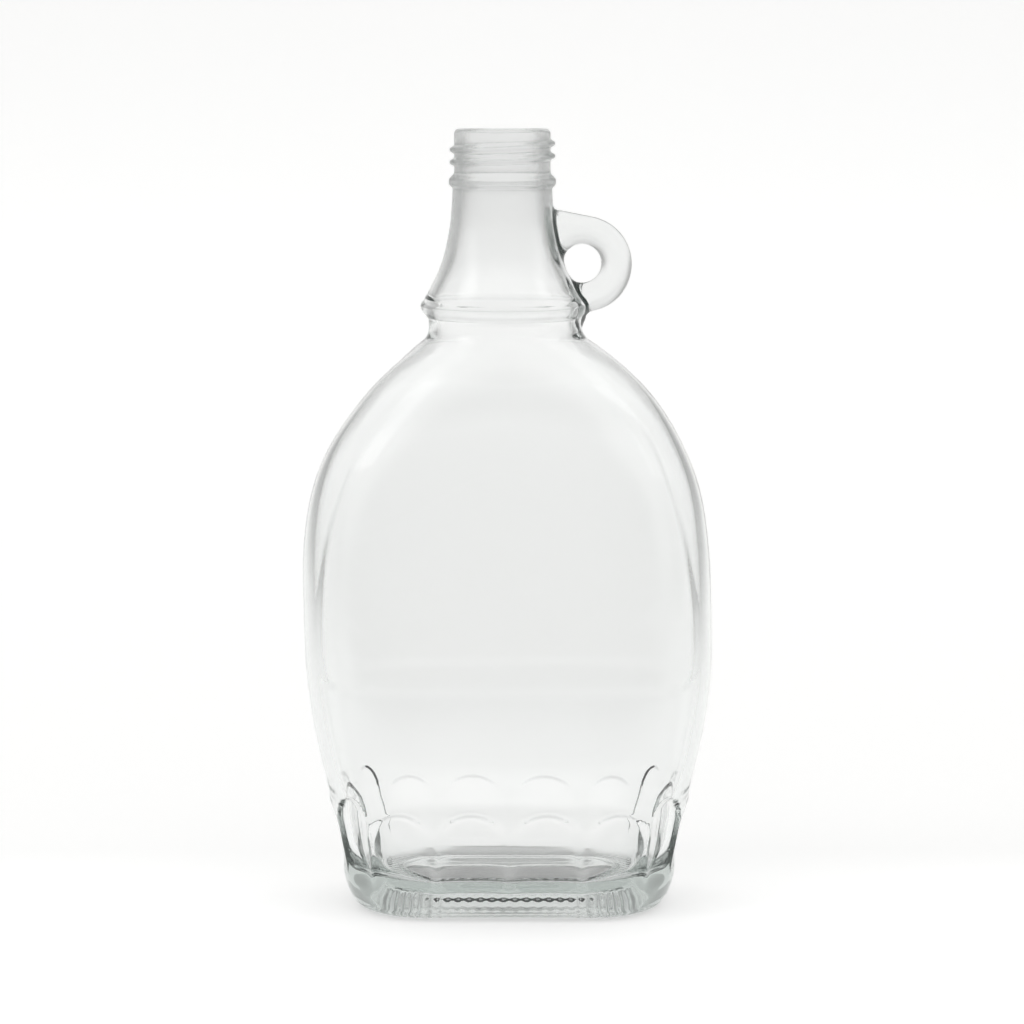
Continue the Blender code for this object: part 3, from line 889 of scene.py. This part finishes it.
def blown_soda_lime_glass():
    material = bpy.data.materials.new("blown_soda_lime_glass")
    material.use_nodes = True
    tree = material.node_tree
    shader = tree.nodes["Principled BSDF"]
    shader.inputs["Base Color"].default_value = (1.0, 1.0, 1.0, 1.0)
    shader.inputs["IOR"].default_value = GLASS_IOR
    shader.inputs["Transmission Weight"].default_value = 1.0
    place = add_node(tree, "ShaderNodeTexCoord")
    z = add_node(tree, "ShaderNodeSeparateXYZ", {0: place.outputs["Object"]}).outputs["Z"]
    haze = add_node(
        tree,
        "ShaderNodeTexNoise",
        {"Vector": place.outputs["Object"], "Scale": HAZE_SCALE, "Detail": 3.0},
    )
    polish = add_node(
        tree, MAP_RANGE, {0: haze, 1: HAZE_RANGE[0], 2: HAZE_RANGE[1], 3: POLISH[0], 4: POLISH[1]}
    )
    mouth = add_node(
        tree, MAP_RANGE, {0: z, 1: MOUTH_RUN[0], 2: MOUTH_RUN[1], 3: 0.0, 4: MOUTH_HAZE}, **SMOOTH
    )
    rough = add_node(tree, MATH, {0: polish, 1: mouth}, operation="ADD")
    tree.links.new(rough.outputs[0], shader.inputs["Roughness"])
    skin = add_node(
        tree,
        "ShaderNodeTexNoise",
        {"Vector": place.outputs["Object"], "Scale": SKIN_SCALE, "Detail": 2.0},
    )
    bump = add_node(
        tree, "ShaderNodeBump", {"Height": skin, "Strength": SKIN_STRENGTH, "Distance": SKIN_HEIGHT}
    )
    tree.links.new(bump.outputs[0], shader.inputs["Normal"])
    depth = add_node(tree, "ShaderNodeVolumeAbsorption")
    depth.inputs["Color"].default_value = linear(GLASS_TINT)
    depth.inputs["Density"].default_value = GLASS_DEPTH
    tree.links.new(depth.outputs[0], tree.nodes["Material Output"].inputs["Volume"])
    return material


glass = blown_soda_lime_glass()
print("material", glass.name)

# %% [markdown]
# ## Flutes, thread and foot ring by rule
#
# Three things on the flask repeat: the flutes round the foot, the turns of the thread, and the
# small cups on the foot ring that keep hot glass off the conveyor. Each is a rule about how far a
# point of the skin moves, so Geometry Nodes can apply it to every point at once, and a size can
# be changed afterwards without modelling anything again.

# %% A tree with named sizes
def new_tree(name, sizes):
    """An empty Geometry Nodes tree with a mesh in and out, a material and named sizes."""
    tree = bpy.data.node_groups.new(name, "GeometryNodeTree")
    tree.interface.new_socket("Geometry", in_out="OUTPUT", socket_type="NodeSocketGeometry")
    kinds = {"Geometry": "Geometry", "Material": "Material", **{size: "Float" for size in sizes}}
    for socket, kind in kinds.items():
        tree.interface.new_socket(socket, in_out="INPUT", socket_type="NodeSocket" + kind)
    return tree, add_node(tree, "NodeGroupInput").outputs


def finish_tree(tree, size, move):
    """Every point is moved, and the result realised and given its material on the way out."""
    moved = add_node(tree, "GeometryNodeSetPosition", {0: size["Geometry"], "Offset": move})
    real = add_node(tree, "GeometryNodeRealizeInstances", {0: moved})
    painted = add_node(tree, "GeometryNodeSetMaterial", {0: real, "Material": size["Material"]})
    add_node(tree, "NodeGroupOutput", {0: painted})
    return tree


def apply_tree(obj, tree, sizes, material):
    """Adds the tree to the object, with its inputs set by the sockets' identifiers."""
    modifier = obj.modifiers.new(tree.name, "NODES")
    modifier.node_group = tree
    values = {**sizes, "Material": material}
    for item in tree.interface.items_tree:
        if item.in_out == "INPUT" and item.name in values:
            modifier[item.identifier] = values[item.name]
    print(tree.name, sizes)


# %% Flutes
FLUTE_EASE = (1.5, 7.0)  # mm below and above a flute's foot, over which it deepens


def flute_tree():
    """Each flute is a shallow hollow under an arch, deepest down its middle."""
    tree, size = new_tree("flutes", ["Depth", "Arch", "Edge", "Foot"])
    across = add_node(tree, ATTRIBUTE, {"Name": "flute_across"})
    top = add_node(tree, ATTRIBUTE, {"Name": "flute_top"})
    out = add_node(tree, ATTRIBUTE, {"Name": "outward"}, data_type="FLOAT_VECTOR")
    place = add_node(tree, "GeometryNodeInputPosition")
    z = add_node(tree, "ShaderNodeSeparateXYZ", {0: place}).outputs["Z"]
    height = add_node(tree, MATH, {0: z, 1: 1.0 / MM}, operation="MULTIPLY")
    squared = add_node(tree, MATH, {0: across, 1: across}, operation="MULTIPLY")
    hollow = add_node(tree, MATH, {0: 1.0, 1: squared}, operation="SUBTRACT")
    bow = add_node(tree, MATH, {0: hollow}, operation="SQRT")
    fourth = add_node(tree, MATH, {0: squared, 1: 2.0}, operation="POWER")
    deep = add_node(tree, MATH, {0: 1.0, 1: fourth}, operation="SUBTRACT")
    flat = add_node(tree, MATH, {0: 1.0, 1: bow}, operation="SUBTRACT")
    drop = add_node(tree, MATH, {0: flat, 1: size["Arch"]}, operation="MULTIPLY")
    arch = add_node(tree, MATH, {0: top, 1: drop}, operation="SUBTRACT")
    under = add_node(tree, MATH, {0: arch, 1: size["Edge"]}, operation="SUBTRACT")
    below = add_node(tree, MAP_RANGE, {0: height, 1: under, 2: arch, 3: 1.0, 4: 0.0}, **SMOOTH)
    start = add_node(tree, MATH, {0: size["Foot"], 1: FLUTE_EASE[0]}, operation="SUBTRACT")
    end = add_node(tree, MATH, {0: size["Foot"], 1: FLUTE_EASE[1]}, operation="ADD")
    above = add_node(tree, MAP_RANGE, {0: height, 1: start, 2: end, 3: 0.0, 4: 1.0}, **SMOOTH)
    cut = deep
    for factor in (below, above, size["Depth"], -MM):
        cut = add_node(tree, MATH, {0: cut, 1: factor}, operation="MULTIPLY")
    move = add_node(tree, VECTOR_MATH, {0: out, "Scale": cut}, operation="SCALE")
    return finish_tree(tree, size, move)


apply_tree(flask, flute_tree(), {"Depth": 1.1, "Arch": 9.5, "Edge": 1.3, "Foot": 8.5}, glass)


# %% Thread
# One start, a turn and two thirds long, as a screw cap for this mouth needs.
CREST = 0.15  # the flat top of the ridge, as a share of its half width
THREAD_OUTSIDE = 11.8  # mm: nothing nearer the axis than this is thread
THREAD_ABOVE = (190.6, 191.6)  # the ridge comes in over this height, above the bead


def thread_tree():
    """One right-handed ridge. Turn counts from +X, and falls as the ridge goes down."""
    names = ["Pitch", "Ridge", "Half Width", "Top", "Start", "End", "Run Out", "Axis"]
    tree, size = new_tree("thread", names)
    place = add_node(tree, "GeometryNodeInputPosition")
    mm = add_node(tree, VECTOR_MATH, {0: place, "Scale": 1.0 / MM}, operation="SCALE")
    x, y, z = add_node(tree, "ShaderNodeSeparateXYZ", {0: mm}).outputs
    x = add_node(tree, MATH, {0: x, 1: size["Axis"]}, operation="SUBTRACT")
    angle = add_node(tree, MATH, {0: y, 1: x}, operation="ARCTAN2")
    turn = add_node(tree, MATH, {0: angle, 1: math.tau}, operation="DIVIDE")
    rise = add_node(
        tree, MATH, {0: turn, 1: size["Pitch"], 2: size["Top"]}, operation="MULTIPLY_ADD"
    )
    over = add_node(tree, MATH, {0: rise, 1: z}, operation="SUBTRACT")
    count = add_node(tree, MATH, {0: over, 1: size["Pitch"]}, operation="DIVIDE")
    whole = add_node(tree, MATH, {0: count}, operation="ROUND")
    off = add_node(tree, MATH, {0: whole, 1: count}, operation="SUBTRACT")
    off = add_node(tree, MATH, {0: off, 1: size["Pitch"]}, operation="MULTIPLY")
    away = add_node(tree, MATH, {0: off}, operation="ABSOLUTE")
    crest = add_node(tree, MATH, {0: size["Half Width"], 1: CREST}, operation="MULTIPLY")
    shape = add_node(
        tree, MAP_RANGE, {0: away, 1: crest, 2: size["Half Width"], 3: 1.0, 4: 0.0}, **SMOOTH
    )
    run = add_node(tree, MATH, {0: turn, 1: whole}, operation="SUBTRACT")
    to_start = add_node(tree, MATH, {0: size["Start"], 1: run}, operation="SUBTRACT")
    to_end = add_node(tree, MATH, {0: run, 1: size["End"]}, operation="SUBTRACT")
    nearer = add_node(tree, MATH, {0: to_start, 1: to_end}, operation="MINIMUM")
    fade = add_node(
        tree, MAP_RANGE, {0: nearer, 1: 0.0, 2: size["Run Out"], 3: 0.0, 4: 1.0}, **SMOOTH
    )
    flat = add_node(tree, "ShaderNodeCombineXYZ", {"X": x, "Y": y})
    radius = add_node(tree, VECTOR_MATH, {0: flat}, operation="LENGTH")
    outside = add_node(
        tree, MATH, {0: radius.outputs["Value"], 1: THREAD_OUTSIDE}, operation="GREATER_THAN"
    )
    high = add_node(
        tree, MAP_RANGE, {0: z, 1: THREAD_ABOVE[0], 2: THREAD_ABOVE[1], 3: 0.0, 4: 1.0}, **SMOOTH
    )
    lift = shape
    for factor in (fade, outside, high, size["Ridge"], MM):
        lift = add_node(tree, MATH, {0: lift, 1: factor}, operation="MULTIPLY")
    out = add_node(tree, VECTOR_MATH, {0: flat}, operation="NORMALIZE")
    move = add_node(tree, VECTOR_MATH, {0: out, "Scale": lift}, operation="SCALE")
    return finish_tree(tree, size, move)


THREAD = {  # mm, and turns
    "Pitch": 3.2,
    "Ridge": 1.2,
    "Half Width": 1.25,
    "Top": 198.9,
    "Start": 40.0 / 360.0,
    "End": -600.0 / 360.0,
    "Run Out": 34.0 / 360.0,
    "Axis": -1.35,
}
apply_tree(flask, thread_tree(), THREAD, glass)


# %% Cups on the foot ring
def cup_tree():
    """Small cups pressed into the ring that the flask stands on, and up its inner side."""
    tree, size = new_tree("foot_cups", ["Count", "Depth", "Wall Depth"])
    across = add_node(tree, ATTRIBUTE, {"Name": "ring_across"})
    around = add_node(tree, ATTRIBUTE, {"Name": "ring_around"})
    squared = add_node(tree, MATH, {0: across, 1: across}, operation="MULTIPLY")
    middle = add_node(tree, MATH, {0: 1.0, 1: squared}, operation="SUBTRACT", use_clamp=True)
    angle = add_node(tree, MATH, {0: around, 1: size["Count"]}, operation="MULTIPLY")
    angle = add_node(tree, MATH, {0: angle, 1: math.tau}, operation="MULTIPLY")
    wave = add_node(tree, MATH, {0: angle}, operation="COSINE")
    cup = add_node(tree, MATH, {0: wave, 1: 0.5, 2: 0.5}, operation="MULTIPLY_ADD")
    side = cup
    for factor in (middle, size["Depth"], MM):
        cup = add_node(tree, MATH, {0: cup, 1: factor}, operation="MULTIPLY")
    up = add_node(tree, "ShaderNodeCombineXYZ", {"Z": cup})
    wall = add_node(tree, ATTRIBUTE, {"Name": "ring_wall"})
    for factor in (wall, size["Wall Depth"], MM):
        side = add_node(tree, MATH, {0: side, 1: factor}, operation="MULTIPLY")
    out = add_node(tree, ATTRIBUTE, {"Name": "outward"}, data_type="FLOAT_VECTOR")
    aside = add_node(tree, VECTOR_MATH, {0: out, "Scale": side}, operation="SCALE")
    move = add_node(tree, VECTOR_MATH, {0: up, 1: aside})
    return finish_tree(tree, size, move)


apply_tree(flask, cup_tree(), {"Count": 58.0, "Depth": 0.45, "Wall Depth": 0.35}, glass)


# %% [markdown]
# ## One plain mesh, tied to the solid
#
# A library part can't count on its rules being run again, so they are turned into a plain mesh
# now. It has to be closed with its normals outwards, or light would count its way through the
# glass wrong. The mesh then takes the solid's place on the part, at the solid's own size.

# %% Turn the rules into a plain mesh
def bake(obj):
    graph = bpy.context.evaluated_depsgraph_get()
    mesh = bpy.data.meshes.new_from_object(obj.evaluated_get(graph))
    obj.modifiers.clear()
    obj.data = mesh
    for name in [a.name for a in mesh.attributes]:
        if name in rule_values or name == "outward":
            mesh.attributes.remove(mesh.attributes[name])
    bm = bmesh.new()
    bm.from_mesh(mesh)
    bmesh.ops.recalc_face_normals(bm, faces=bm.faces)
    open_edges = sum(1 for edge in bm.edges if not edge.is_manifold)
    print("volume", round(bm.calc_volume(signed=True) * 1e6, 1), "cm3, open edges", open_edges)
    bm.to_mesh(mesh)
    bm.free()
    mesh.name = obj.name


bake(flask)
print(sum(len(p.vertices) - 2 for p in flask.data.polygons), "triangles")

# %% Tie the flask to the solid
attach(flask, "root")
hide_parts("flask")
print(flask.name, "stands in for the solid flask")
